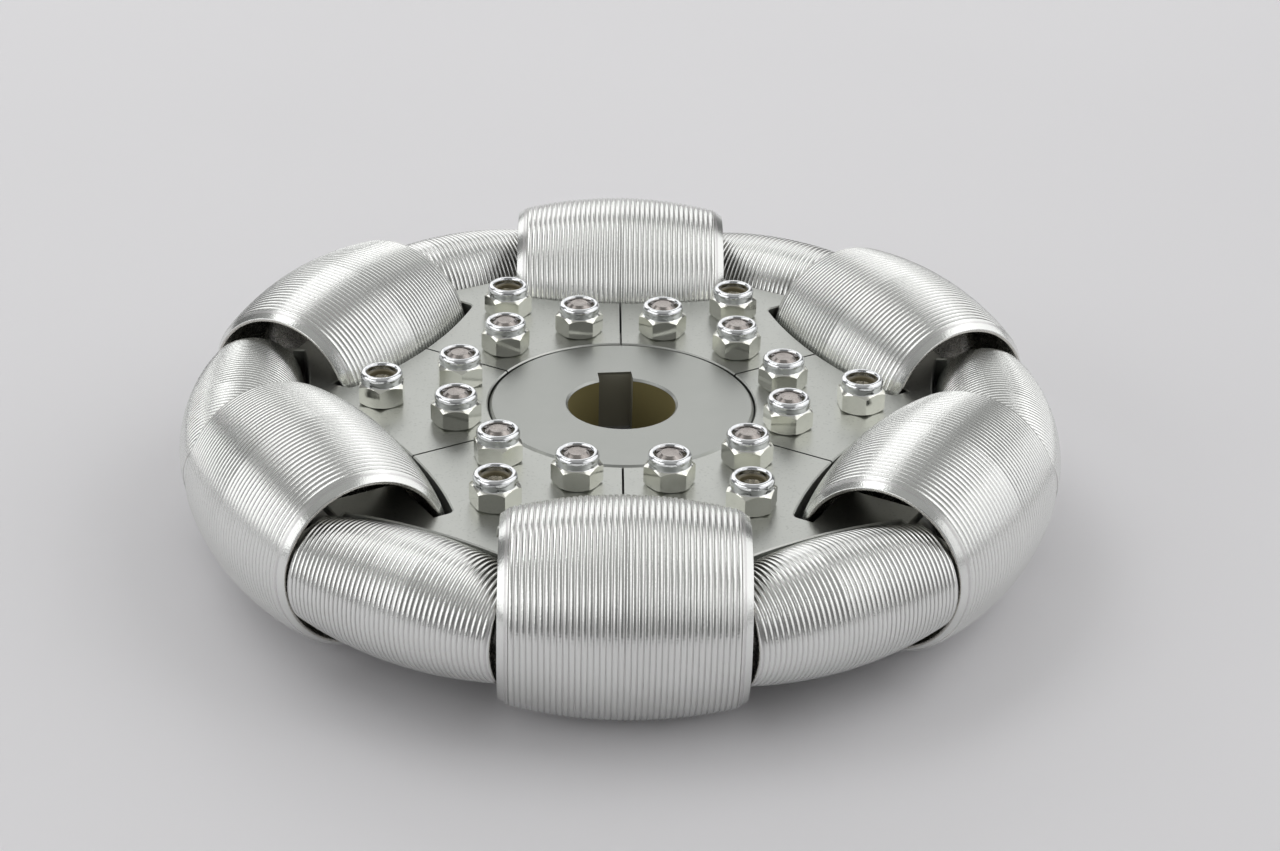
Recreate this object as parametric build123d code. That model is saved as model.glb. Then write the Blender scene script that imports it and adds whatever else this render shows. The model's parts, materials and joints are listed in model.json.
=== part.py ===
from build123d import *
import math
import os

# Omni wheel, all metal. Six large hollow rollers alternate with six small ones round the rim, and the
# ends of the small rollers nest in the open mouths of the large ones, so that the rim is one circle.
# The wheel lies flat: origin at its centre, +Z along its axle. Sizes are in millimetres.

# Whole wheel
wheel_diameter = 203.0
pairs = 6
first_large_angle = -90.0

# Large rollers: hollow barrels with a web half way, which carries a needle bearing
large_diameter = 47.0
large_length = 51.8
mouth_band_width = 2.3
mouth_band_drop = 0.85
mouth_wall = 0.85
mouth_chamfer = 0.15
web_thickness = 12.0
web_corner = 3.0
large_axle_diameter = 8.0
needle_bearing_wall = 2.0
spacer_length = 3.35
spacer_wall = 2.5

# Small rollers: barrels bored right through, with a ball bearing sunk in each end
small_diameter = 28.4
small_end_chamfer = 0.5
small_axle_diameter = 6.0
ball_bearing_wall = 4.5
ball_bearing_width = 5.0
ball_bearing_sink = 0.5
ball_bearing_shoulder = 1.5
bearing_pad_wall = 1.5

# Running gaps
nest_gap = 0.3
bearing_clearance = 0.03
seat_clearance = 0.02
end_float = 0.15
large_side_gap = 0.5
large_end_gap = 0.8
small_gap = 0.6
arm_gap = 1.0

# Forks: a sector plate in two halves, with an arm into the large roller on each side
plate_thickness = 15.0
plate_chamfer = 0.3
seam_gap = 0.5
pocket_corner = 1.8
arm_past_axle = 2.4
boss_wall = 2.0
seat_wall = 1.7
small_boss_wall = 2.5
small_boss_width = 4.9

# Hub: a disc flush with the plates, and a flange that the two rows of plates clamp
disc_diameter = 61.2
bore_diameter = 25.0
bore_chamfer = 0.5
key_width = 8.0
key_depth = 3.3
key_angle = 96.0
disc_gap = 0.4
disc_chamfer = 0.6
flange_thickness = 6.0
flange_gap = 0.4
flange_reach = 0.658
inner_bolt_reach = 0.365

# Fasteners: M6 hexagon bolts from below, prevailing-torque nuts on top
bolt_diameter = 6.0
bolt_hole_clearance = 0.2
hexagon_width = 10.0
bolt_head_height = 4.0
nut_hexagon_height = 5.0
nut_height = 7.6
nut_collar_diameter = 9.8
inner_bolt_end = 0.0
outer_bolt_engagement = 2.5
outer_bolt_margin = 17.2

# Worked out from those
wheel_radius = wheel_diameter / 2
pitch = 360 / pairs
half_pitch = math.radians(pitch / 2)
first_small_angle = first_large_angle + pitch / 2
half_plate = plate_thickness / 2
half_web = web_thickness / 2
large_half = large_length / 2
large_axis = wheel_radius - large_diameter / 2
small_axis = wheel_radius - small_diameter / 2
mouth_outer_radius = math.sqrt(wheel_radius**2 - large_half**2) - mouth_band_drop - large_axis
mouth_radius = mouth_outer_radius - mouth_wall
disc_radius = disc_diameter / 2
ring_width = wheel_radius - large_diameter - large_side_gap - disc_radius
flange_radius = disc_radius + flange_reach * ring_width
inner_bolt_radius = disc_radius + inner_bolt_reach * ring_width
outer_bolt_radius = wheel_radius - small_diameter - small_gap - outer_bolt_margin
bolt_hole_radius = bolt_diameter / 2 + bolt_hole_clearance


def rim_x(along):
    """Distance from the wheel's axle to the rim circle, at a distance along a roller."""
    return math.sqrt(wheel_radius**2 - along**2)


def mouth_room(half_length):
    """Gap between the end circle of a small roller so long and the edge of the mouth it enters."""
    x = (large_half + half_length * math.cos(half_pitch)) / math.sin(half_pitch)
    radial = x * math.cos(half_pitch) + half_length * math.sin(half_pitch) - large_axis
    rise_squared = (rim_x(half_length) - small_axis) ** 2 - (x - small_axis) ** 2
    return mouth_radius + mouth_chamfer - math.sqrt(radial**2 + max(rise_squared, 0))


def longest_small_half():
    """Half the length of the longest small roller that keeps its gap in the mouths, by halving."""
    short = small_diameter / 2
    long = wheel_radius * math.sin(half_pitch)
    while long - short > 1e-6:
        middle = (short + long) / 2
        if mouth_room(middle) > nest_gap:
            short = middle
        else:
            long = middle
    return round(short, 3)


# Where the forks meet the rollers
small_half = longest_small_half()
fork_face = small_half + small_gap
boss_end = fork_face + small_boss_width
arm_start = half_web + end_float + spacer_length
arm_hub_side = large_axis - math.sqrt((mouth_radius - arm_gap) ** 2 - half_plate**2)
arm_tip = large_axis + arm_past_axle
fork_corner_x = 2 * small_axis - math.sqrt((wheel_radius + small_gap) ** 2 - fork_face**2)
fork_corner_along = fork_corner_x * math.sin(half_pitch) - fork_face * math.cos(half_pitch)
large_seat_end = fork_corner_along - seat_wall


def on_axis(axis_radius, start, end, outer, inner=0.0):
    """Round bar or ring on a roller's axis, from one distance along it to another, with its radii."""
    low = min(start, end)
    plane = Plane(origin=(axis_radius, low, 0), x_dir=(1, 0, 0), z_dir=(0, 1, 0))
    section = Circle(outer) - Circle(inner) if inner > 0 else Circle(outer)
    return extrude(plane * section, abs(end - start))


def turned(outline, axis_radius):
    """A closed outline in the XY plane, turned about a roller's axis."""
    return revolve(make_face(outline), axis=Axis((axis_radius, 0, 0), (0, 1, 0)))


def at_angle(shape, angle):
    """A shape made at +X, carried round the wheel."""
    return Rot(0, 0, angle) * shape


def both_ends(piece):
    """A piece near one end of a roller, and its mirror image at the other end."""
    return [piece, mirror(piece, about=Plane.XZ)]


# Rollers -------------------------------------------------------------------------------------------


def large_roller():
    """Barrel whose outline is the rim circle, with a plain taper at its open mouths and a web half way."""
    band_start = large_half - mouth_band_width
    band_x = rim_x(band_start)
    end_x = large_axis + mouth_outer_radius
    mouth_x = large_axis + mouth_radius
    seat_x = large_axis + large_axle_diameter / 2 + needle_bearing_wall + seat_clearance
    rim = ThreePointArc((band_x, -band_start), (wheel_radius, 0), (band_x, band_start))
    inside = Polyline(
        (band_x, band_start),
        (end_x, large_half),
        (mouth_x + mouth_chamfer, large_half),
        (mouth_x, large_half - mouth_chamfer),
        (mouth_x, half_web + web_corner),
        (mouth_x - web_corner, half_web),
        (seat_x, half_web),
        (seat_x, -half_web),
        (mouth_x - web_corner, -half_web),
        (mouth_x, -half_web - web_corner),
        (mouth_x, mouth_chamfer - large_half),
        (mouth_x + mouth_chamfer, -large_half),
        (end_x, -large_half),
        (band_x, -band_start),
    )
    return turned([rim, inside], large_axis)


def small_roller():
    """Barrel whose outline is the rim circle, bored through, with a bearing seat at each end."""
    body_end = small_half - small_end_chamfer
    end_x = rim_x(body_end)
    seat_x = small_axis + small_axle_diameter / 2 + ball_bearing_wall + seat_clearance
    bore_x = seat_x - ball_bearing_shoulder
    floor = small_half - ball_bearing_sink - ball_bearing_width
    rim = ThreePointArc((end_x, -body_end), (wheel_radius, 0), (end_x, body_end))
    inside = Polyline(
        (end_x, body_end),
        (end_x - small_end_chamfer, small_half),
        (seat_x, small_half),
        (seat_x, floor),
        (bore_x, floor),
        (bore_x, -floor),
        (seat_x, -floor),
        (seat_x, -small_half),
        (end_x - small_end_chamfer, -small_half),
        (end_x, -body_end),
    )
    return turned([rim, inside], small_axis)


def large_axle():
    """Plain pin whose ends lie in the arms of two neighbouring forks."""
    return on_axis(large_axis, -large_seat_end, large_seat_end, large_axle_diameter / 2)


def small_axle():
    """Plain pin through a small roller, held in both arms of one fork."""
    return on_axis(small_axis, -boss_end, boss_end, small_axle_diameter / 2)


def large_bearing():
    """Needle bearing in its drawn cup, as wide as the web, as one sealed ring."""
    inner = large_axle_diameter / 2 + bearing_clearance
    outer = large_axle_diameter / 2 + needle_bearing_wall
    return on_axis(large_axis, -half_web, half_web, outer, inner)


def small_bearings():
    """Two deep-groove ball bearings, each as one sealed ring."""
    inner = small_axle_diameter / 2 + bearing_clearance
    outer = small_axle_diameter / 2 + ball_bearing_wall
    face = small_half - ball_bearing_sink
    return both_ends(on_axis(small_axis, face - ball_bearing_width, face, outer, inner))


def large_spacers():
    """Two steel bushes on a large axle, which keep the web midway between the arms."""
    inner = large_axle_diameter / 2 + seat_clearance
    outer = large_axle_diameter / 2 + spacer_wall
    return both_ends(on_axis(large_axis, half_web + end_float, arm_start, outer, inner))


# Forks ---------------------------------------------------------------------------------------------


def beside(side, shape):
    """Carries a shape from a large roller's place at +X to the one on side +1 or -1 of a fork."""
    return Rot(0, 0, side * pitch / 2) * shape


def pocket(axis_radius, half_length, side_gap):
    """Plan of the room for a roller: its own outline, grown by the side gap, open towards the rim."""
    room = Pos(axis_radius, 0) * Rectangle(wheel_radius, 2 * half_length)
    return room & (Pos(2 * axis_radius, 0) * Circle(wheel_radius + side_gap))


def large_pocket():
    """Room for a large roller, with milled corners."""
    outline = pocket(large_axis, large_half + large_end_gap, large_side_gap)
    return fillet(outline.vertices().sort_by(Axis.X)[:2], pocket_corner)


def small_pocket():
    """Room for a small roller, between the arms of its fork."""
    return pocket(small_axis, fork_face, small_gap)


def sector_plan():
    """Plan of the plate between two seams, with the pockets of its three rollers cut out."""
    plan = Circle(arm_tip) - Circle(disc_radius + disc_gap)
    half_plane = Rectangle(2 * wheel_diameter, wheel_diameter)
    for side in (1, -1):
        beyond_seam = Pos(0, side * (wheel_diameter - seam_gap) / 2) * half_plane
        plan -= beside(side, large_pocket())
        plan -= beside(side, beyond_seam)
    return plan


def arm_plan(side):
    """Plan of an arm, from the plate's end wall to the large roller's spacer."""
    start = arm_start
    end = large_half + large_end_gap + pocket_corner
    across = arm_tip - arm_hub_side
    arm = Rectangle(across, end - start)
    return beside(side, Pos(arm_hub_side + across / 2, -side * (start + end) / 2) * arm)


def fork_plate():
    """Half the thickness of a fork's plate, with the top edge broken all round but at the seams."""
    plan = sector_plan()
    for side in (1, -1):
        plan += arm_plan(side)
    plate = extrude(plan - small_pocket(), half_plate)
    top = plate.faces().sort_by(Axis.Z)[-1]
    return chamfer([edge for edge in top.edges() if not on_seam(edge)], plate_chamfer)


def on_seam(edge):
    """Whether an edge lies along a seam between two sectors."""
    middle = edge @ 0.5
    angle = math.atan2(abs(middle.Y), middle.X)
    from_seam = math.hypot(middle.X, middle.Y) * math.sin(half_pitch - angle)
    return edge.geom_type == GeomType.LINE and abs(from_seam - seam_gap / 2) < seat_clearance


def large_boss(side):
    """Round boss at the tip of an arm, about the large roller's axle."""
    radius = large_axle_diameter / 2 + boss_wall
    end = large_seat_end + 2 * seat_wall
    boss = beside(side, on_axis(large_axis, -side * arm_start, -side * end, radius))
    return boss - extrude(small_pocket(), 2 * plate_thickness, both=True)


def small_boss(side):
    """Boss that stands out of an arm behind the small roller's end, with a pad for its bearing."""
    radius = small_axle_diameter / 2 + small_boss_wall
    pad_radius = small_axle_diameter / 2 + bearing_pad_wall
    pad_face = small_half - ball_bearing_sink + end_float
    boss = on_axis(small_axis, side * fork_face, side * boss_end, radius)
    foot = fork_corner_x + plate_chamfer
    bridge = Box(small_axis - foot, small_boss_width, 2 * radius)
    boss += Pos((foot + small_axis) / 2, side * (fork_face + boss_end) / 2) * bridge
    room = beside(side, on_axis(large_axis, -large_half, large_half, mouth_radius - arm_gap))
    return (boss & room) + on_axis(small_axis, side * pad_face, side * fork_face, pad_radius)


def fork_half():
    """Upper half of a fork: the plate, its bosses, half of each axle's seat and the bolt holes."""
    half = fork_plate()
    below = Pos(0, 0, -plate_thickness) * Box(2 * wheel_diameter, 2 * wheel_diameter, 2 * plate_thickness)
    for side in (1, -1):
        half += large_boss(side) - below
        half += small_boss(side) - below
    half -= extrude(Circle(flange_radius + flange_gap), flange_thickness / 2)
    for side in (1, -1):
        seat = large_axle_diameter / 2 + seat_clearance
        half -= beside(side, on_axis(large_axis, 0, -side * large_seat_end, seat))
        half -= Rot(0, 0, side * pitch / 4) * Pos(inner_bolt_radius, 0) * bolt_hole()
    half -= Pos(outer_bolt_radius, 0) * bolt_hole()
    seat = small_axle_diameter / 2 + seat_clearance
    return half - on_axis(small_axis, -2 * small_half, 2 * small_half, seat)


# Hub -----------------------------------------------------------------------------------------------


def hub():
    """Disc with a keyed bore, and round it the flange that the forks are bolted to."""
    disc = Cylinder(disc_radius, plate_thickness)
    disc = chamfer(disc.edges().filter_by(GeomType.CIRCLE), disc_chamfer)
    bore = Cylinder(bore_diameter / 2, plate_thickness)
    for end in (1, -1):
        mouth = Cone(bore_diameter / 2, bore_diameter / 2 + bore_chamfer, bore_chamfer)
        bore += Rot(0 if end > 0 else 180, 0, 0) * Pos(0, 0, half_plate - bore_chamfer / 2) * mouth
    key_top = bore_diameter / 2 + key_depth
    keyway = Pos(key_top / 2, 0) * Box(key_top, key_width, plate_thickness)
    body = disc + Cylinder(flange_radius, flange_thickness) - bore - at_angle(keyway, key_angle)
    for angle in bolt_angles():
        body -= at_angle(Pos(inner_bolt_radius, 0) * bolt_hole(), angle)
    return body


# Fasteners -----------------------------------------------------------------------------------------


def bolt_angles():
    """Where the inner bolts stand: two in each sector, evenly spaced."""
    return [first_small_angle - pitch / 4 + pitch / 2 * k for k in range(2 * pairs)]


def small_angles():
    """The middle of each fork, where a small roller and an outer bolt are."""
    return [first_small_angle + pitch * k for k in range(pairs)]


def bolt_hole():
    """Clearance hole through everything."""
    return Cylinder(bolt_hole_radius, 2 * plate_thickness)


def hexagon():
    """Hexagon with its width across the flats."""
    return RegularPolygon(hexagon_width / 2, 6, major_radius=False)


def bolt(end_height):
    """Hexagon bolt with its head under the lower plate, and the height that its end reaches."""
    head = Pos(0, 0, -half_plate - bolt_head_height) * extrude(hexagon(), bolt_head_height)
    shank = Pos(0, 0, -half_plate) * extrude(Circle(bolt_diameter / 2), half_plate + end_height)
    return head + shank


def nut():
    """Prevailing-torque nut on the upper plate: a hexagon, and a round collar for its nylon ring."""
    body = extrude(hexagon(), nut_hexagon_height) + extrude(Circle(nut_collar_diameter / 2), nut_height)
    hole = extrude(Circle(bolt_diameter / 2 + seat_clearance), nut_height)
    return Pos(0, 0, half_plate) * (body - hole)


def ring_of(shape, radius, angles):
    """Copies of a fastener at a radius, one for each angle."""
    return [at_angle(Pos(radius, 0) * shape, angle) for angle in angles]


# Files ---------------------------------------------------------------------------------------------


def write(name, pieces):
    """One node: a piece, or a group of like pieces as separate solids."""
    solids = [solid for piece in pieces for solid in piece.solids()]
    shape = solids[0] if len(solids) == 1 else Compound(children=solids)
    export_step(shape, f"parts/{name}.step")


def write_round(name, pieces, first_angle):
    """One node for each roller or sector, carried round the wheel from one model."""
    for k in range(pairs):
        write(f"{name}_{k + 1}", [at_angle(piece, first_angle + pitch * k) for piece in pieces])


os.makedirs("parts", exist_ok=True)

fork = fork_half()
write_round("upper_sector", [fork], first_small_angle)
write_round("lower_sector", [mirror(fork, about=Plane.XY)], first_small_angle)
write("hub", [hub()])

write_round("large_roller", [large_roller()], first_large_angle)
write_round("large_bearing", [large_bearing()], first_large_angle)
write_round("large_axle", [large_axle()], first_large_angle)
write_round("small_roller", [small_roller()], first_small_angle)
write_round("small_bearings", small_bearings(), first_small_angle)
write_round("small_axle", [small_axle()], first_small_angle)

large_angles = [first_large_angle + pitch * k for k in range(pairs)]
write("large_spacers", [at_angle(spacer, angle) for angle in large_angles for spacer in large_spacers()])

inner_bolt = bolt(half_plate + nut_height - inner_bolt_end)
outer_bolt = bolt(half_plate + outer_bolt_engagement)
write("inner_bolts", ring_of(inner_bolt, inner_bolt_radius, bolt_angles()))
write("outer_bolts", ring_of(outer_bolt, outer_bolt_radius, small_angles()))
write("inner_nuts", ring_of(nut(), inner_bolt_radius, bolt_angles()))
write("outer_nuts", ring_of(nut(), outer_bolt_radius, small_angles()))
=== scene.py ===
import json
from math import cos, hypot, pi, radians, sin, sqrt

import bmesh
import bpy
from mathutils import Matrix, Quaternion, Vector


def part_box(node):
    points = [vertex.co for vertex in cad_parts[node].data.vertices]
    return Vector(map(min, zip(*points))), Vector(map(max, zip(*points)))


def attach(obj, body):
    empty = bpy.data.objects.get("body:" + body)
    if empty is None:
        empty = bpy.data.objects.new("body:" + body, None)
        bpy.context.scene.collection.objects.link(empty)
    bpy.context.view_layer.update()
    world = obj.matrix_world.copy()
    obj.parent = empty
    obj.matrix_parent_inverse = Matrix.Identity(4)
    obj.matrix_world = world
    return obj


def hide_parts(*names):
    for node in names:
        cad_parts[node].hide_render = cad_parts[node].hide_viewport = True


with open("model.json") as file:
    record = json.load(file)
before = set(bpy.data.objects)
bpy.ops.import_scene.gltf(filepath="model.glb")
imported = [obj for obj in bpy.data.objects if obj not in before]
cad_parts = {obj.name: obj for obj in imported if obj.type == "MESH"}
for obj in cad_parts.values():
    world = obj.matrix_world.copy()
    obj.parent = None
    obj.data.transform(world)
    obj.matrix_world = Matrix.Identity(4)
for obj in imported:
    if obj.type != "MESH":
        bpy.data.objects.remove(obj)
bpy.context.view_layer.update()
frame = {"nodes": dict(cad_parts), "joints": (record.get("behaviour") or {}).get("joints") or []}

# ---------------------------------------------------------------------------------------------------
# Hub. One disc of aluminium, turned on its faces and left matt, with a broached keyway. Its flange is
# clamped between the two rows of plates. The bore is painted dark, in olive tone and painted shade.
# ---------------------------------------------------------------------------------------------------

MM = 0.001
half_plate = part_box("hub")[1].z

turned_aluminium = (0.48, 0.49, 0.47, 1)
turned_dark = (0.38, 0.39, 0.37, 1)
turned_light = (0.45, 0.46, 0.44, 1)
shaded_olive_bore = (0.27, 0.23, 0.10, 1)
shaded_grey_keyway = (0.28, 0.27, 0.22, 1)
bore_radius = 12.5 * MM
keyway_start = bore_radius + 0.15 * MM
dark_bore_reach = 17.2 * MM
dark_bore_height = half_plate - 0.6 * MM
dark_bore_edge = 0.05 * MM


class Shade:
    """A shader value that the usual operators work on, and the way to every other node."""

    def __init__(self, tree, socket=None):
        self.tree, self.socket = tree, socket

    def node(self, kind, sockets=None, output=0, **settings):
        """A new node of a kind, its settings first, and then the values or links of its sockets."""
        made = self.tree.nodes.new("ShaderNode" + kind)
        for name, value in settings.items():
            setattr(made, name, value)
        for name, value in (sockets or {}).items():
            if isinstance(value, Shade):
                self.tree.links.new(value.socket, made.inputs[name])
            else:
                made.inputs[name].default_value = value
        return Shade(self.tree, made.outputs[output])

    def sum_of(self, operation, *values):
        """A sum on numbers, by the name of its operation."""
        return self.node("Math", dict(enumerate(values)), operation=operation)

    def __add__(self, other):
        return self.sum_of("ADD", self, other)

    def __rsub__(self, other):
        return self.sum_of("SUBTRACT", other, self)

    def __mul__(self, other):
        return self.sum_of("MULTIPLY", self, other)

    __radd__, __rmul__ = __add__, __mul__

    def below(self, edge, blur):
        """1 where the value is under an edge, falling to 0 over the blur."""
        return self.node("MapRange", {0: self, 1: edge - blur, 2: edge + blur, 3: 1.0, 4: 0.0})

    def above(self, edge, blur):
        """0 where the value is under an edge, rising to 1 over the blur."""
        return self.node("MapRange", {0: self, 1: edge - blur, 2: edge + blur, 3: 0.0, 4: 1.0})

    def blend(self, first, second):
        """The first colour where this value is 0, and the second where it is 1."""
        return self.node("Mix", {0: self, 6: first, 7: second}, output=2, data_type="RGBA")

    def stretched(self, scale):
        """A place with each of its axes drawn out by its own scale."""
        return self.node("Mapping", {"Vector": self, "Scale": scale})

    def noise(self, scale, detail=2.0, roughness=0.5):
        """Cloudy noise on a place, with so many clouds to a unit."""
        sockets = {"Vector": self, "Scale": scale, "Detail": detail, "Roughness": roughness}
        return self.node("TexNoise", sockets)

    def length(self):
        """How far a place lies from the origin."""
        return self.node("VectorMath", {0: self}, output=1, operation="LENGTH")

    def part(self, axis):
        """A place's distance along one axis."""
        return self.node("SeparateXYZ", {0: self}, output="XYZ".index(axis))


def metal_finish(name, roughness, colour=(0.8, 0.8, 0.8, 1), metallic=1.0):
    """A material with its surface node, and a place to start its shading from."""
    material = bpy.data.materials.new(name)
    material.use_nodes = True
    surface = material.node_tree.nodes["Principled BSDF"]
    surface.inputs["Base Color"].default_value = colour
    surface.inputs["Metallic"].default_value = metallic
    surface.inputs["Roughness"].default_value = roughness
    material.diffuse_color = colour
    return material, surface, Shade(material.node_tree)


def feed(surface, **values):
    """Links values to the surface's sockets, written with _ for the space in their names."""
    for name, value in values.items():
        surface.id_data.links.new(value.socket, surface.inputs[name.replace("_", " ")])


def dress(material, *nodes):
    """Puts a material on CAD nodes, which keep their shape and place."""
    for name in nodes:
        for material_slot in frame["nodes"][name].material_slots:
            material_slot.material = material


hub_finish, surface, start = metal_finish("fine_turned_hub", 0.36, turned_aluminium)
place = start.node("TexCoord", output="Object")
ring = place.node("VectorMath", {0: place, 1: (1, 1, 0)}, operation="MULTIPLY").length()
cut_lines = start.node("TexNoise", {"W": ring, "Scale": 3200.0, "Detail": 2.0}, noise_dimensions="1D")
grain = place.noise(2600.0)
cloud = place.noise(90.0, 3.0)
from_middle = start.sum_of("ABSOLUTE", place.part("Z"))
# Inside the bore the colour is painted olive and darker, and in the keyway grey and darker: partly
# their tone, partly painted shade.
inside = ring.below(dark_bore_reach, dark_bore_edge) * from_middle.below(dark_bore_height, dark_bore_edge)
face_colour = cloud.blend(turned_dark, turned_light)
shaded_bore_colour = ring.above(keyway_start, 2 * dark_bore_edge).blend(shaded_olive_bore, shaded_grey_keyway)
height = cut_lines * 0.6 + grain * 0.5
feed(
    surface,
    Base_Color=inside.blend(face_colour, shaded_bore_colour),
    Metallic=1.0 - inside * 0.7,
    Roughness=0.36 + cloud * 0.06 + inside * 0.10,
    Normal=height.node("Bump", {"Height": height, "Strength": 0.35, "Distance": 0.02 * MM}),
)
dress(hub_finish, "hub")

# ---------------------------------------------------------------------------------------------------
# Sector plates. Twelve aluminium plates, cut to their outline, milled to seat the axles and then
# bead-blasted. The upper and the lower row meet half way up, clamped to the hub's flange by the bolts.
# ---------------------------------------------------------------------------------------------------

sides = range(1, 7)
plate_dark = (0.45, 0.46, 0.435, 1)
plate_light = (0.53, 0.54, 0.515, 1)
bead_mark = (0.36, 0.37, 0.35, 1)

plate_finish, surface, start = metal_finish("blasted_plate", 0.38, plate_light)
place = start.node("TexCoord", output="Object")
beads = start.node("TexVoronoi", {"Vector": place, "Scale": 2300.0}, feature="SMOOTH_F1")
grain = place.noise(4200.0)
cloud = place.noise(70.0, 4.0, 0.6)
specks = place.noise(1500.0, 1.0).above(0.66, 0.04)
height = beads * 0.7 + grain * 0.5
feed(
    surface,
    Base_Color=(specks * 0.5).blend(cloud.blend(plate_dark, plate_light), bead_mark),
    Roughness=0.30 + cloud * 0.08,
    Normal=height.node("Bump", {"Height": height, "Strength": 0.5, "Distance": 0.04 * MM}),
)
dress(plate_finish, *[f"{row}_sector_{k}" for row in ("upper", "lower") for k in sides])

# ---------------------------------------------------------------------------------------------------
# Axles, needle bearings and spacer bushes. Ground steel pins lie in the seats between the plates. A
# needle bearing is pressed in the web of each large roller, and a bush keeps it midway on its pin.
# ---------------------------------------------------------------------------------------------------

bearing_dark = (0.50, 0.49, 0.49, 1)
bearing_light = (0.66, 0.66, 0.68, 1)

axle_finish, surface, start = metal_finish("ground_axle", 0.22, (0.62, 0.62, 0.63, 1))
place = start.node("TexCoord", output="Object")
grinding = place.noise(5200.0, 1.0)
feed(
    surface,
    Roughness=0.16 + place.noise(400.0) * 0.14,
    Normal=grinding.node("Bump", {"Height": grinding, "Strength": 0.2, "Distance": 0.01 * MM}),
)
dress(axle_finish, *[f"{size}_axle_{k}" for size in ("large", "small") for k in sides])

bearing_finish, surface, start = metal_finish("drawn_bearing_steel", 0.25, (0.58, 0.58, 0.60, 1))
place = start.node("TexCoord", output="Object")
stain = place.noise(300.0, 3.0)
feed(
    surface,
    Base_Color=stain.blend(bearing_dark, bearing_light),
    Roughness=0.18 + stain * 0.16,
)
dress(bearing_finish, *[f"large_bearing_{k}" for k in sides], *[f"small_bearings_{k}" for k in sides])

spacer_finish, surface, start = metal_finish("polished_bush", 0.14, (0.74, 0.74, 0.75, 1))
place = start.node("TexCoord", output="Object")
feed(surface, Roughness=0.10 + place.noise(600.0) * 0.10)
dress(spacer_finish, "large_spacers")

# ---------------------------------------------------------------------------------------------------
# Large rollers. Hollow barrels turned from aluminium bar to the curve of the rim. Fine grooves are cut
# round them from one smooth mouth band to the other, and the web inside is bored for its bearing.
# ---------------------------------------------------------------------------------------------------

joints = {joint["child"]: joint for joint in frame["joints"]}
wheel_radius = 101.5
groove_depth = 0.27
groove_floor_share = 0.14
crest_share = 0.58
crest_points = ((-0.5, 0.06), (-0.28, 0.0), (0.28, 0.0), (0.5, 0.06))
mouth_band = 2.3
mouth_band_drop = 0.85
mouth_edge = 0.15
broken_edge = 0.08
band_edge = 0.06
large_half = 25.9
large_axis = joints["large_barrel_1"]["pos_m"][1] / -MM
large_mouth_radius = 18.44
large_web_half = 6.0
large_web_corner = 3.0
large_web_corner_middle = 0.88
large_bearing_radius = 6.02
large_bearing_edge = 0.4
large_ridges = 38
large_steps = 144

ridge_dark = (0.77, 0.78, 0.76, 1)
ridge_light = (0.86, 0.87, 0.85, 1)
painted_groove_shade = (0.58, 0.56, 0.565, 1)
painted_hollow_shade = (0.60, 0.585, 0.55, 1)


def outline_radius(along, axis):
    """How thick a roller is at a distance along it, so that its outline is the circle of the rim."""
    return sqrt(wheel_radius**2 - along**2) - axis


def grooved(half, ridges, axis):
    """Points of an outline with ridges between -half and half, and a flat-bottomed groove after each.

    A crest point is a share of the crest's width from its middle, and how far it sinks there.
    """
    step = 2 * half / ridges
    points = [(-half, outline_radius(half, axis) - groove_depth)]
    for k in range(ridges):
        middle = -half + (k + 0.5) * step
        for side, sink in crest_points:
            along = middle + side * crest_share * step
            points.append((along, outline_radius(along, axis) - sink))
        for side in (-0.5, 0.5):
            along = min(middle + (1 + side * groove_floor_share * 2) * step / 2, half)
            points.append((along, outline_radius(along, axis) - groove_depth))
    return points


def turned_outline(points, steps):
    """A closed outline of (along, radius) points in mm, spun full circle about the X axis."""
    mesh = bmesh.new()
    ring = [mesh.verts.new((along * MM, 0, radius * MM)) for along, radius in points]
    edges = [mesh.edges.new(pair) for pair in zip(ring, ring[1:] + ring[:1])]
    bmesh.ops.spin(
        mesh,
        geom=ring + edges,
        cent=(0, 0, 0),
        axis=(1, 0, 0),
        angle=2 * pi,
        steps=steps,
        use_merge=True,
    )
    bmesh.ops.recalc_face_normals(mesh, faces=mesh.faces)
    return mesh


def piece_of(name, mesh, materials, sharp_angle=50):
    """An object at the origin from a finished mesh, smooth but for its sharp edges."""
    data = bpy.data.meshes.new(name)
    mesh.to_mesh(data)
    mesh.free()
    for material in materials:
        data.materials.append(material)
    data.shade_smooth()
    data.set_sharp_from_angle(angle=radians(sharp_angle))
    made = bpy.data.objects.new(name, data)
    bpy.context.scene.collection.objects.link(made)
    return made


def note_turning(mesh, axis):
    """Keeps each point's place on the lathe, in mm, and how deep it lies under the outline.

    The place is counted from a point well off the barrel, as all of a noise's scales meet in a line
    at its own origin.
    """
    off_barrel = Vector((100.37, 57.19, 23.71))
    on_lathe = mesh.verts.layers.float_vector.new("on_lathe")
    under_outline = mesh.verts.layers.float.new("under_outline")
    for vert in mesh.verts:
        vert[on_lathe] = vert.co / MM + off_barrel
        radius = hypot(vert.co.y, vert.co.z) / MM
        vert[under_outline] = outline_radius(vert.co.x / MM, axis) - radius


def set_in_fork(mesh, joint):
    """Carries a roller from the lathe to its axle."""
    along, up = Vector(joint["axis"]), Vector((0, 0, 1))
    turn = Matrix((along, up.cross(along), up)).transposed().to_4x4()
    mesh.transform(Matrix.Translation(joint["pos_m"]) @ turn)


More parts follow.
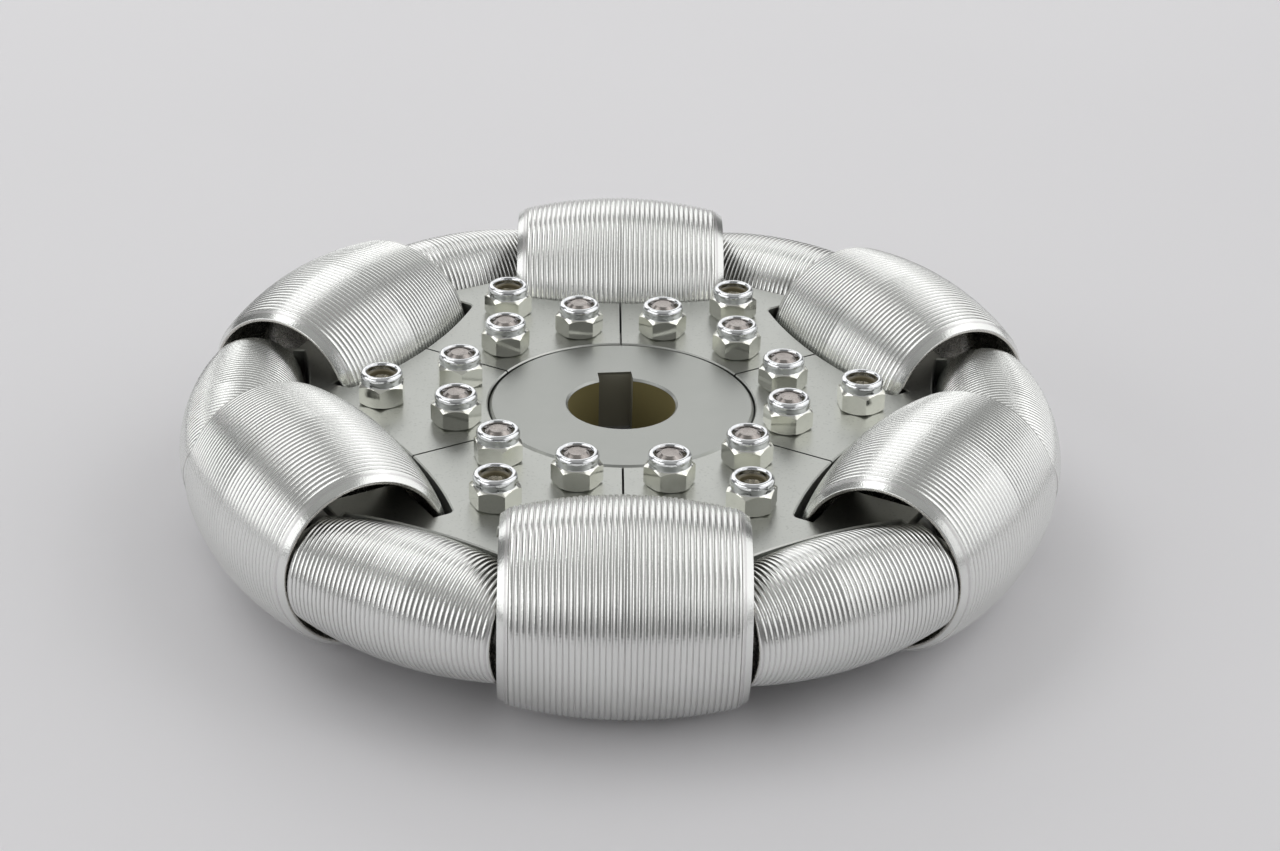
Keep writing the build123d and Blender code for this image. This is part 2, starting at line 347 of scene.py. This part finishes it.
roller_finish, surface, start = metal_finish("turned_roller", 0.26, ridge_light)
on_lathe = start.node("Attribute", {}, output=1, attribute_name="on_lathe")
depth = start.node("Attribute", {}, output=2, attribute_name="under_outline")
place = start.node("TexCoord", output="Object")
cloud = place.noise(60.0, 3.0)
chatter = on_lathe.noise(1.9, 2.0, 0.6)
tool_lines = on_lathe.stretched((9.0, 0.15, 0.15)).noise(1.0, 2.0)
# The grooves are painted darker, varying with the chatter: painted shade in the grooves.
in_groove = depth.above(0.15, 0.08) * depth.below(0.35, 0.03)
# More than 1.1 mm under the outline, on the ends and in the hollow, the colour is painted darker and a
# little warmer: painted shade.
inside = depth.above(1.1, 0.05)
ridge_colour = cloud.blend(ridge_dark, ridge_light)
groove_colour = (in_groove * (0.3 + chatter * 0.6)).blend(ridge_colour, painted_groove_shade)
height = tool_lines * 0.15 + chatter
feed(
    surface,
    Base_Color=inside.blend(groove_colour, painted_hollow_shade),
    Roughness=0.16 + chatter * 0.10 + in_groove * 0.12 + inside * 0.06,
    Normal=height.node("Bump", {"Height": height, "Strength": 0.5, "Distance": 0.05 * MM}),
)

band_start = large_half - mouth_band
end_radius = outline_radius(large_half, large_axis) - mouth_band_drop
half_outline = [
    (band_start + band_edge, outline_radius(band_start, large_axis) - band_edge),
    (large_half - broken_edge, end_radius),
    (large_half, end_radius - broken_edge),
    (large_half, large_mouth_radius + mouth_edge),
    (large_half - mouth_edge, large_mouth_radius),
    (large_web_half + large_web_corner, large_mouth_radius),
    (large_web_half + large_web_corner_middle, large_mouth_radius - large_web_corner_middle),
    (large_web_half, large_mouth_radius - large_web_corner),
    (large_web_half, large_bearing_radius + large_bearing_edge),
    (large_web_half - large_bearing_edge, large_bearing_radius),
]
mirrored = [(-along, radius) for along, radius in reversed(half_outline)]
large_outline = grooved(band_start, large_ridges, large_axis) + half_outline + mirrored

for k in sides:
    barrel = turned_outline(large_outline, large_steps)
    note_turning(barrel, large_axis)
    set_in_fork(barrel, joints[f"large_barrel_{k}"])
    roller = piece_of(f"large_barrel_turned_{k}", barrel, [roller_finish])
    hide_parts(f"large_roller_{k}")
    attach(roller, f"large_barrel_{k}")

# ---------------------------------------------------------------------------------------------------
# Small rollers. Barrels turned to the same curve and grooved from end to end, bored right through and
# counterbored for a ball bearing at each end. Their ends turn inside the mouths of the large rollers.
# ---------------------------------------------------------------------------------------------------

small_half = 24.667
small_axis = 87.3
small_ridges = 41
small_end_edge = 0.5
small_end_drop = 0.35
small_steps = 112
small_seat_edge = 0.25
small_seat_radius = 7.52
small_bore_radius = 6.02
small_seat_floor = 19.167

grooved_half = small_half - small_end_edge
end_radius = outline_radius(grooved_half, small_axis)
half_outline = [
    (grooved_half + 0.1, end_radius - groove_depth),
    (small_half, end_radius - groove_depth - small_end_drop),
    (small_half, small_seat_radius + small_seat_edge),
    (small_half - small_seat_edge, small_seat_radius),
    (small_seat_floor, small_seat_radius),
    (small_seat_floor, small_bore_radius),
]
mirrored = [(-along, radius) for along, radius in reversed(half_outline)]
small_outline = grooved(grooved_half, small_ridges, small_axis) + half_outline + mirrored

for k in sides:
    barrel = turned_outline(small_outline, small_steps)
    note_turning(barrel, small_axis)
    set_in_fork(barrel, joints[f"small_barrel_{k}"])
    roller = piece_of(f"small_barrel_turned_{k}", barrel, [roller_finish])
    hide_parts(f"small_roller_{k}")
    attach(roller, f"small_barrel_{k}")

# ---------------------------------------------------------------------------------------------------
# Bolts. Hexagon bolts of zinc-plated steel, pushed up from below, cold-headed and rolled. The twelve
# inner ones end level with the rims of their nuts, and the six outer ones stop inside theirs.
# ---------------------------------------------------------------------------------------------------

bolt_radius = 3.0
thread_pitch = 1.0
thread_depth = 0.5
head_height = 4.0
head_chamfer = 0.55
washer_face = 0.2
washer_radius = 4.7
hexagon_flats = 10.0
hexagon_corner = 5.7735
sharp_on_hexagons = 35
underside = -half_plate / MM
inner_bolt_circle = 39.141
outer_bolt_circle = 55.3
inner_bolt_top = 15.1
outer_bolt_top = 10.0

bolt_dark = (0.20, 0.18, 0.17, 1)
bolt_light = (0.52, 0.48, 0.455, 1)


def threaded(top, turns, radius, depth):
    """Points down a thread's outline from its top."""
    points = []
    for k in range(turns):
        level = top - k * thread_pitch
        points += [(level, radius - depth), (level - 0.44 * thread_pitch, radius)]
        points.append((level - 0.56 * thread_pitch, radius))
    return points


def hexagon_bar(low, high, flats=hexagon_flats):
    """A hexagon bar with its corners on the X axis, between two heights in mm."""
    mesh = bmesh.new()
    corner = flats / 2 / cos(pi / 6) * MM
    made = bmesh.ops.create_circle(mesh, cap_ends=True, segments=6, radius=corner)
    bmesh.ops.rotate(mesh, verts=made["verts"], cent=(0, 0, 0), matrix=Matrix.Rotation(pi / 6, 3, "Z"))
    bmesh.ops.translate(mesh, verts=made["verts"], vec=(0, 0, low * MM))
    extruded = bmesh.ops.extrude_face_region(mesh, geom=mesh.faces[:])
    top = [item for item in extruded["geom"] if isinstance(item, bmesh.types.BMVert)]
    bmesh.ops.translate(mesh, verts=top, vec=(0, 0, (high - low) * MM))
    bmesh.ops.recalc_face_normals(mesh, faces=mesh.faces)
    return mesh


def lathe_blank(points, steps=72):
    """An outline of (height, radius) points, turned about the Z axis, with closed poles."""
    mesh = turned_outline(points, steps)
    bmesh.ops.rotate(mesh, verts=mesh.verts, cent=(0, 0, 0), matrix=Matrix.Rotation(-pi / 2, 3, "Y"))
    bmesh.ops.remove_doubles(mesh, verts=mesh.verts, dist=1e-6)
    bmesh.ops.dissolve_degenerate(mesh, dist=1e-7, edges=mesh.edges)
    bmesh.ops.recalc_face_normals(mesh, faces=mesh.faces)
    return mesh


def common_part(first, second):
    """What two solids share, as turning the corners off a hexagon bar leaves."""
    bar = piece_of("bar", first, [])
    blank = piece_of("blank", second, [])
    cut = bar.modifiers.new("turning", "BOOLEAN")
    cut.operation, cut.object, cut.solver = "INTERSECT", blank, "EXACT"
    bpy.context.view_layer.update()
    shaped = bmesh.new()
    shaped.from_mesh(bar.evaluated_get(bpy.context.evaluated_depsgraph_get()).to_mesh())
    for used in (bar, blank):
        bpy.data.objects.remove(used)
    bmesh.ops.remove_doubles(shaped, verts=shaped.verts, dist=2e-6)
    return shaped


def ring_of(shape, radius, angles, turns):
    """Copies of a fastener on a circle, each turned on its own axis, in one mesh."""
    whole = bmesh.new()
    for angle, turn in zip(angles, turns):
        one = bpy.data.meshes.new("one")
        shape.to_mesh(one)
        stand = Matrix.Translation((radius * MM, 0, 0)) @ Matrix.Rotation(radians(turn), 4, "Z")
        one.transform(Matrix.Rotation(radians(angle), 4, "Z") @ stand)
        whole.from_mesh(one)
        bpy.data.meshes.remove(one)
    return whole


def bolt_shape(top):
    """A bolt, from under its head up to its rolled end, with the head's flats kept."""
    head_low = underside - head_height
    end = threaded(top - 0.95, 4, bolt_radius, thread_depth)
    outline = [
        (head_low, 0.0),
        (head_low, hexagon_corner - head_chamfer * 1.7),
        (head_low + head_chamfer, hexagon_corner),
        (underside - washer_face, hexagon_corner),
        (underside - washer_face, washer_radius),
        (underside, washer_radius),
        (underside, bolt_radius),
        (end[-1][0] - 0.1, bolt_radius),
        *reversed(end),
        (top - 0.8, bolt_radius - 0.05),
        (top - 0.12, bolt_radius - 0.9),
        (top, bolt_radius - 1.02),
        (top - 0.12, 1.3),
        (top - 0.06, 0.0),
    ]
    return common_part(hexagon_bar(head_low - 1, top + 1), lathe_blank(outline))


bolt_finish, surface, start = metal_finish("rolled_bolt", 0.30, (0.36, 0.33, 0.31, 1))
place = start.node("TexCoord", output="Object")
stain = place.noise(500.0, 3.0)
height = place.noise(1600.0, 3.0)
feed(
    surface,
    Base_Color=stain.blend(bolt_dark, bolt_light),
    Roughness=0.18 + stain * 0.16,
    Normal=height.node("Bump", {"Height": height, "Strength": 0.45, "Distance": 0.06 * MM}),
)

inner_angles = [-75 + 30 * k for k in range(12)]
outer_angles = [-60 + 60 * k for k in range(6)]
for name, top, circle, angles in (
    ("inner_bolts", inner_bolt_top, inner_bolt_circle, inner_angles),
    ("outer_bolts", outer_bolt_top, outer_bolt_circle, outer_angles),
):
    shape = bolt_shape(top)
    turns = [(37 * k) % 60 for k in range(len(angles))]
    whole_ring = ring_of(shape, circle, angles, turns)
    bolts = piece_of(f"{name}_rolled", whole_ring, [bolt_finish], sharp_on_hexagons)
    shape.free()
    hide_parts(name)
    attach(bolts, "root")

# ---------------------------------------------------------------------------------------------------
# Nuts. Prevailing-torque nuts of bright zinc-plated steel: a hexagon with its corners turned off, and
# above it a round collar, rolled over the nylon ring that grips the thread.
# ---------------------------------------------------------------------------------------------------

top_side = half_plate / MM
nut_hexagon_height = 5.0
nut_height = 7.6
collar_radius = 4.88
nut_rim = top_side + nut_height
hexagon_top = top_side + nut_hexagon_height
nut_thread_radius = 3.0
nylon_grip_radius = 3.02
nut_outline = [
    (top_side, 3.35),
    (top_side, 4.75),
    (top_side + 0.12, 4.95),
    (top_side + 0.62, hexagon_corner),
    (hexagon_top - 0.75, hexagon_corner),
    (hexagon_top - 0.1, 4.95),
    (hexagon_top + 0.1, collar_radius - 0.14),
    (hexagon_top + 0.9, collar_radius - 0.12),
    (hexagon_top + 1.15, collar_radius),
    (nut_rim - 0.95, collar_radius),
    (nut_rim - 0.62, collar_radius - 0.08),
    (nut_rim - 0.32, collar_radius - 0.25),
    (nut_rim - 0.1, collar_radius - 0.52),
    (nut_rim, collar_radius - 0.85),
    (nut_rim - 0.06, collar_radius - 1.12),
    (nut_rim - 0.28, collar_radius - 1.30),
    (nut_rim - 0.6, collar_radius - 1.36),
    (nut_rim - 2.6, collar_radius - 1.36),
    (nut_rim - 2.6, 3.04),
    *[(level, radius + 0.04) for level, radius in threaded(nut_rim - 2.7, 5, nut_thread_radius, 0.0)],
]
nylon_outline = [
    (nut_rim - 2.55, nylon_grip_radius),
    (nut_rim - 2.55, 3.50),
    (nut_rim - 1.5, 3.50),
    (nut_rim - 1.45, 3.25),
    (nut_rim - 1.7, nylon_grip_radius),
]
hexagon_dark = (0.76, 0.76, 0.69, 1)
hexagon_light = (0.87, 0.87, 0.81, 1)
collar_dark = (0.74, 0.75, 0.76, 1)
collar_light = (0.86, 0.875, 0.90, 1)
nylon_dark = (0.16, 0.135, 0.08, 1)
nylon_light = (0.23, 0.20, 0.125, 1)

nut_finish, surface, start = metal_finish("bright_zinc_nut", 0.2, (0.80, 0.81, 0.82, 1))
place = start.node("TexCoord", output="Object")
haze = place.noise(420.0, 3.0, 0.6)
dents = place.noise(900.0, 2.0)
collar = place.part("Z").above(hexagon_top * MM, 0.1 * MM)
hexagon_colour = haze.blend(hexagon_dark, hexagon_light)
collar_colour = haze.blend(collar_dark, collar_light)
feed(
    surface,
    Base_Color=collar.blend(hexagon_colour, collar_colour),
    Roughness=0.08 + haze * 0.12,
    Normal=dents.node("Bump", {"Height": dents, "Strength": 0.3, "Distance": 0.05 * MM}),
)
nylon_finish, surface, start = metal_finish("nylon_ring", 0.35, (0.20, 0.17, 0.10, 1), 0.0)
place = start.node("TexCoord", output="Object")
feed(surface, Base_Color=place.noise(500.0).blend(nylon_dark, nylon_light))

nut_shape = common_part(hexagon_bar(top_side - 1, nut_rim + 1), lathe_blank(nut_outline))
nylon_ring = lathe_blank(nylon_outline, 48)
inner_turns = [23, 42, 0, 45, 14, 49, 20, 54, 52, 47, 57, 44]
outer_turns = [13, 37, 57, 58, 29, 53]
for name, circle, angles, turns in (
    ("inner_nuts", inner_bolt_circle, inner_angles, inner_turns),
    ("outer_nuts", outer_bolt_circle, outer_angles, outer_turns),
):
    whole_ring = ring_of(nut_shape, circle, angles, turns)
    nuts = piece_of(f"{name}_plated", whole_ring, [nut_finish], sharp_on_hexagons)
    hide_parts(name)
    whole_ring = ring_of(nylon_ring, circle, angles, turns)
    rings = piece_of(f"{name}_nylon", whole_ring, [nylon_finish], sharp_on_hexagons)
    for made in (nuts, rings):
        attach(made, "root")
nut_shape.free()
nylon_ring.free()

# ---------------------------------------------------------------------------------------------------
# Studio. A pale floor under a light grey ceiling, with soft lamps round the wheel. Near the floor the
# surroundings are darker between the lamps, as bright metal needs something dark to show its shape.
# ---------------------------------------------------------------------------------------------------

floor_radius = 3.0
floor_dark = (0.79, 0.78, 0.80, 1)
floor_light = (0.82, 0.81, 0.83, 1)
dark_grey = (0.14, 0.14, 0.14, 1)
light_grey = (0.62, 0.625, 0.61, 1)
lamp_distance = 1.6
lamps = (
    ("back_lamp", 8, 26, 0.7, 1.2, 2.3),
    ("right_lamp", 75, 27, 1.7, 1.5, 7.6),
    ("high_right_lamp", 84, 57, 1.2, 0.6, 2.0),
    ("near_right_lamp", 124, 24, 1.2, 1.2, 3.4),
    ("near_left_lamp", -113, 22, 2.0, 1.0, 7.8),
    ("left_lamp", -28, 25, 1.1, 0.9, 3.6),
    ("high_left_lamp", -60, 60, 1.2, 0.7, 3.7),
)
lens_length = 78.72
camera_place = (-9.87, -575.15, 304.86)
camera_aim = (4.35, -0.08, 1.68)
camera_roll = 1.446

floor_mesh = bmesh.new()
bmesh.ops.create_circle(floor_mesh, cap_ends=True, segments=96, radius=floor_radius)
floor_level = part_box("large_roller_1")[0].z
bmesh.ops.translate(floor_mesh, verts=floor_mesh.verts, vec=(0, 0, floor_level))
floor_finish, surface, start = metal_finish("pale_floor", 0.6, (0.80, 0.79, 0.81, 1), 0.0)
place = start.node("TexCoord", output="Object")
feed(surface, Base_Color=place.noise(6.0).blend(floor_dark, floor_light))
floor = piece_of("floor", floor_mesh, [floor_finish])

world = bpy.data.worlds.new("studio")
bpy.context.scene.world = world
world.use_nodes = True
sky = Shade(world.node_tree)
direction = sky.node("TexCoord", output="Generated")
high = direction.part("Z").above(0.6, 0.3)
behind = direction.part("Y").above(0.9, 0.08)
grey = (high * 0.5 + behind * 0.4).blend(dark_grey, light_grey)
world.node_tree.links.new(grey.socket, world.node_tree.nodes["Background"].inputs["Color"])


def soft_lamp(name, azimuth, elevation, width, height, power):
    """An oblong soft lamp that faces the wheel; azimuth 0 is behind it and 90 to its right."""
    around, up = radians(azimuth), radians(elevation)
    light = bpy.data.lights.new(name, "AREA")
    light.shape, light.size, light.size_y, light.energy = "RECTANGLE", width, height, power
    lamp = bpy.data.objects.new(name, light)
    bpy.context.scene.collection.objects.link(lamp)
    lamp.location = Vector((sin(around) * cos(up), cos(around) * cos(up), sin(up))) * lamp_distance
    lamp.rotation_mode = "QUATERNION"
    lamp.rotation_quaternion = lamp.location.to_track_quat("Z", "Y")


for lamp_row in lamps:
    soft_lamp(*lamp_row)

camera_data = bpy.data.cameras.new("camera")
camera_data.lens, camera_data.sensor_width = lens_length, 36.0
camera_data.clip_start, camera_data.clip_end = 0.05, 20
camera = bpy.data.objects.new("camera", camera_data)
bpy.context.scene.collection.objects.link(camera)
camera.rotation_mode = "QUATERNION"
camera.location = Vector(camera_place) * MM
look = (Vector(camera_aim) * MM - camera.location).to_track_quat("-Z", "Y")
camera.rotation_quaternion = look @ Quaternion((0, 0, 1), radians(camera_roll))
bpy.context.scene.camera = camera
bpy.context.scene.view_settings.view_transform = "Standard"
